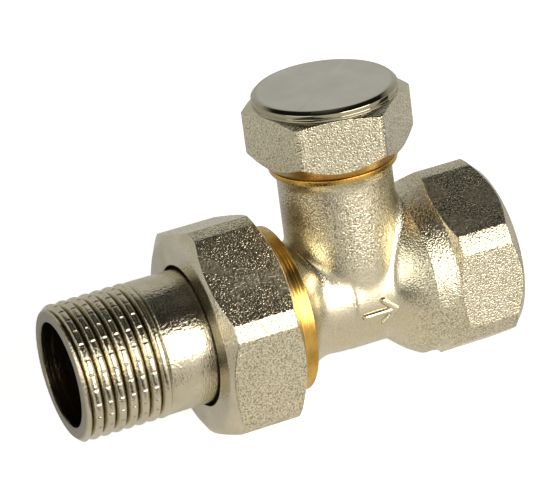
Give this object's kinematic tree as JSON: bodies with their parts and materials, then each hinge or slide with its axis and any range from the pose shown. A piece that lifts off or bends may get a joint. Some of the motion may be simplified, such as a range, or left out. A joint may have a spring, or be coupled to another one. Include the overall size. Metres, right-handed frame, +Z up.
{
  "type": "lockshield valve",
  "caption": "Straight half-inch radiator lockshield valve with a female pipe socket, a union tail and a screw-down headwork under a hexagonal cap.",
  "frame": {"origin": "centre of the mouth of the female pipe socket", "axes": "+X along the flow axis, out of the female socket; +Z up, parallel to the spindle's axis; +Y to the valve's left as seen from the socket's mouth looking in, so that the front is -Y"},
  "size_m": [0.0703, 0.0328, 0.0501],
  "materials": {
    "blasted_nickel": "nickel plated, shot-blasted forging with turned edges",
    "turned_nickel": "nickel plated, turned",
    "bare_brass": "turned, unplated",
    "rubber": "moulded EPDM",
    "fibre": "pressed fibre",
    "stainless_steel": "turned"
  },
  "bodies": {
    "valve_body": {"body": "blasted_nickel", "bonnet": "bare_brass", "bonnet_o_ring": "rubber"},
    "union_travel_carrier": {"tail_o_ring": "rubber"},
    "nut": {"union_nut": "blasted_nickel"},
    "tail": {"tailpiece": "turned_nickel"},
    "plug": {"plug_disc": "bare_brass", "plug_seal": "rubber", "seal_washer": "stainless_steel", "seal_screw": "stainless_steel"},
    "stem": {"spindle": "bare_brass", "spindle_o_ring_lower": "rubber", "spindle_o_ring_upper": "rubber"},
    "cap_travel_carrier": {"cap_liner": "fibre"},
    "cap": {"protective_cap": "blasted_nickel"}
  },
  "joints": [
    {"name": "union_travel", "type": "slide", "parent": "valve_body", "child": "union_travel_carrier", "axis": [-1, 0, 0], "range_m": [0, 0.00726]},
    {"name": "union_nut_turn", "type": "hinge", "parent": "union_travel_carrier", "child": "nut", "pos_m": [-0.0433, 0, 0], "axis": [-1, 0, 0], "range_deg": [0, 1440]},
    {"name": "tail_swivel", "type": "hinge", "parent": "union_travel_carrier", "child": "tail", "pos_m": [-0.0553, 0, 0], "axis": [-1, 0, 0], "continuous": true},
    {"name": "plug_lift", "type": "slide", "parent": "valve_body", "child": "plug", "axis": [0, 0, 1], "range_m": [-0.0046, 0]},
    {"name": "spindle_turn", "type": "hinge", "parent": "plug", "child": "stem", "pos_m": [-0.0233, 0, 0.02], "axis": [0, 0, 1], "range_deg": [-1620, 0]},
    {"name": "cap_travel", "type": "slide", "parent": "valve_body", "child": "cap_travel_carrier", "axis": [0, 0, 1], "range_m": [0, 0.00437]},
    {"name": "cap_turn", "type": "hinge", "parent": "cap_travel_carrier", "child": "cap", "pos_m": [-0.0233, 0, 0.027], "axis": [0, 0, 1], "range_deg": [0, 1044]}
  ],
  "couplings": [
    {"joint": "union_travel", "follows": "union_nut_turn", "m_per_rad": 0.00028871},
    {"joint": "plug_lift", "follows": "spindle_turn", "m_per_rad": 0.00015915},
    {"joint": "cap_travel", "follows": "cap_turn", "m_per_rad": 0.00023873}
  ]
}
